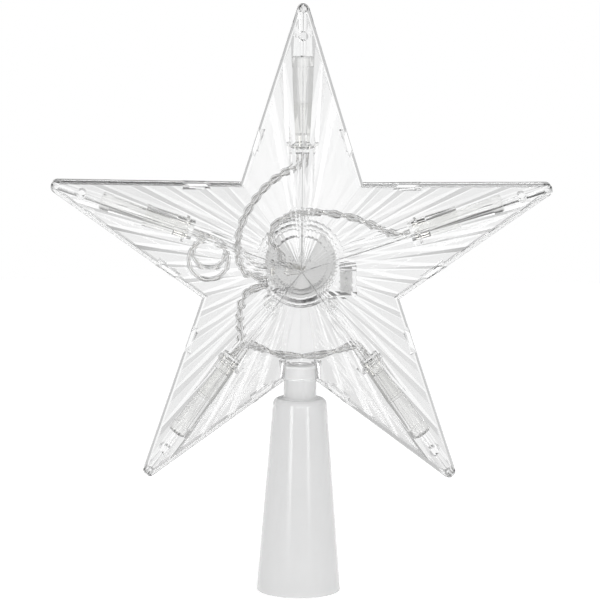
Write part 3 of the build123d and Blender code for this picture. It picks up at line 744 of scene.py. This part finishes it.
# ---------------------------------------------------------------------------
# Floor, light and camera
# ---------------------------------------------------------------------------
floor_mat, tree, bsdf, coord = new_material("pale_floor")
cloud = noise(tree, coord, 3.0, 3.0)
tint = ramp(tree, cloud.outputs["Fac"], [(0.3, (0.93, 0.93, 0.93)), (0.7, (0.95, 0.95, 0.95))])
tree.links.new(tint.outputs["Color"], bsdf.inputs["Base Color"])
bsdf.inputs["Roughness"].default_value = 0.9
bsdf.inputs["Specular IOR Level"].default_value = 0.1
bsdf.inputs["Emission Color"].default_value = (1.0, 1.0, 1.0, 1.0)
bsdf.inputs["Emission Strength"].default_value = 0.3
circle_floor = [(x, y, 0) for x, y in circle(0.75, 96)]
floor_obj = mesh_object("floor", circle_floor, [list(range(len(circle_floor)))])
floor_obj.data.materials.append(floor_mat)
floor_obj.visible_transmission = False

world = bpy.data.worlds.new("studio")
scene.world = world
world.use_nodes = True
tree = world.node_tree
tree.nodes.clear()
out = tree.nodes.new("ShaderNodeOutputWorld")
coord = tree.nodes.new("ShaderNodeTexCoord")
split = tree.nodes.new("ShaderNodeSeparateXYZ")
tree.links.new(coord.outputs["Generated"], split.inputs["Vector"])
height = tree.nodes.new("ShaderNodeMapRange")
height.inputs["From Min"].default_value = -1.0
height.inputs["From Max"].default_value = 1.0
tree.links.new(split.outputs["Z"], height.inputs["Value"])


def up(deg):
    return (math.sin(math.radians(deg)) + 1) / 2


def grey(v):
    return (v, v, v)


# a lit white backdrop behind the star, dimmer where it ends, with a dark gap above it that is deeper on the left
below = [
    (0.0, grey(0.9)),
    (up(-30), grey(0.95)),
    (up(-20), grey(0.92)),
    (up(-14), grey(0.90)),
    (up(-11.5), grey(0.89)),
    (up(-9), grey(1.05)),
    (up(-6), grey(1.08)),
    (up(-4.5), grey(1.03)),
    (up(-3), grey(0.89)),
    (up(0), grey(0.71)),
    (up(3), grey(0.60)),
]
above = [(up(28), grey(1.0)), (up(40), grey(1.15)), (1.0, grey(1.15))]
under = [(0.0, grey(0.9)), (up(-70), grey(0.8)), (up(-60), grey(0.1)), (up(-26), grey(0.1)), (up(-20.5), grey(0.9))]
gap = ramp(tree, height.outputs["Result"], under + below[2:] + [(up(4.5), grey(0.12)), (up(5.5), grey(0.04)), (up(29), grey(0.04)), (up(33), grey(1.0))] + above[1:])
sky = ramp(tree, height.outputs["Result"], below + [(up(6), grey(0.80)), (up(11), grey(0.62)), (up(22), grey(0.62))] + above)


def sideways(x):
    return (x + 1) / 2


turn = tree.nodes.new("ShaderNodeMapRange")
turn.inputs["From Min"].default_value = -1.0
turn.inputs["From Max"].default_value = 1.0
tree.links.new(split.outputs["X"], turn.inputs["Value"])
depth = ramp(
    tree,
    turn.outputs["Result"],
    [
        (0.0, grey(0.0)),
        (sideways(-0.2), grey(0.0)),
        (sideways(-0.12), grey(1.0)),
        (sideways(-0.01), grey(1.0)),
        (sideways(0.02), grey(0.62)),
        (sideways(0.12), grey(0.62)),
        (sideways(0.2), grey(0.0)),
        (1.0, grey(0.0)),
    ],
)
edges = ramp(
    tree,
    turn.outputs["Result"],
    [
        (0.0, grey(0.60)),
        (sideways(-0.40), grey(0.66)),
        (sideways(-0.30), grey(0.90)),
        (sideways(-0.13), grey(0.94)),
        (sideways(-0.09), grey(1.0)),
        (sideways(0.13), grey(1.0)),
        (sideways(0.17), grey(0.94)),
        (sideways(0.32), grey(0.90)),
        (sideways(0.42), grey(0.66)),
        (1.0, grey(0.60)),
    ],
)
view = tree.nodes.new("ShaderNodeMix")
view.data_type = "RGBA"
tree.links.new(depth.outputs["Color"], view.inputs["Factor"])
tree.links.new(sky.outputs["Color"], view.inputs[6])
tree.links.new(gap.outputs["Color"], view.inputs[7])
both = tree.nodes.new("ShaderNodeMix")
both.data_type = "RGBA"
both.blend_type = "MULTIPLY"
both.inputs["Factor"].default_value = 1.0
tree.links.new(view.outputs[2], both.inputs[6])
tree.links.new(edges.outputs["Color"], both.inputs[7])
lit = tree.nodes.new("ShaderNodeBackground")
tree.links.new(both.outputs[2], lit.inputs["Color"])
seen = tree.nodes.new("ShaderNodeBackground")
seen.inputs["Color"].default_value = (1.0, 1.0, 1.0, 1.0)
path = tree.nodes.new("ShaderNodeLightPath")
mix = tree.nodes.new("ShaderNodeMixShader")
tree.links.new(path.outputs["Is Camera Ray"], mix.inputs["Fac"])
tree.links.new(lit.outputs["Background"], mix.inputs[1])
tree.links.new(seen.outputs["Background"], mix.inputs[2])
tree.links.new(mix.outputs["Shader"], out.inputs["Surface"])


def strip(name, azimuth, distance, width, tall, mid, power):
    light = bpy.data.lights.new(name, "AREA")
    light.shape = "RECTANGLE"
    light.size = width
    light.size_y = tall
    light.energy = power
    obj = bpy.data.objects.new(name, light)
    scene.collection.objects.link(obj)
    a = math.radians(azimuth)
    at = Vector((math.sin(a) * distance, -math.cos(a) * distance, mid))
    obj.location = at
    obj.rotation_mode = "QUATERNION"
    obj.rotation_quaternion = (Vector((0, 0, mid)) - at).to_track_quat("-Z", "Y")
    obj.visible_camera = False
    obj.visible_diffuse = False
    obj.visible_transmission = False


def panel(name, at, target, width, tall, power):
    light = bpy.data.lights.new(name, "AREA")
    light.shape = "RECTANGLE"
    light.size = width
    light.size_y = tall
    light.energy = power
    obj = bpy.data.objects.new(name, light)
    scene.collection.objects.link(obj)
    obj.location = at
    obj.rotation_mode = "QUATERNION"
    obj.rotation_quaternion = (Vector(target) - Vector(at)).to_track_quat("-Z", "Y")
    obj.visible_camera = False


panel("front_fill", (0, -1.9, 0.52), (0, 0, 0.12), 1.3, 0.5, 8.0)
strip("strip_left", -34, 1.7, 0.34, 1.5, 0.55, 10.0)
strip("strip_right", 32, 1.7, 0.24, 1.5, 0.55, 7.0)

cam_data = bpy.data.cameras.new("camera")
cam = bpy.data.objects.new("camera", cam_data)
scene.collection.objects.link(cam)
scene.camera = cam
cam_data.sensor_width = 36.0
cam_data.lens = 4063.2 * 36.0 / 600.0
cam_data.clip_start, cam_data.clip_end = 0.05, 40.0
yaw, tilt, roll = math.radians(-1.10), math.radians(9.24), math.radians(0.50)
ahead = Vector((-math.sin(yaw) * math.cos(tilt), math.cos(yaw) * math.cos(tilt), -math.sin(tilt)))
side = Vector((math.cos(yaw), math.sin(yaw), 0.0))
upward = side.cross(ahead)
right = side * math.cos(roll) + upward * math.sin(roll)
upward = right.cross(ahead)
look = Vector((-0.00029, 0.0, 0.1093))
at = look - ahead * 1.5
cam.matrix_world = Matrix(
    (
        (right.x, upward.x, -ahead.x, at.x),
        (right.y, upward.y, -ahead.y, at.y),
        (right.z, upward.z, -ahead.z, at.z),
        (0, 0, 0, 1),
    )
)

scene.view_settings.view_transform = "Standard"
scene.view_settings.look = "None"
scene.cycles.max_bounces = 36
scene.cycles.transmission_bounces = 36
scene.cycles.glossy_bounces = 16
scene.cycles.diffuse_bounces = 4
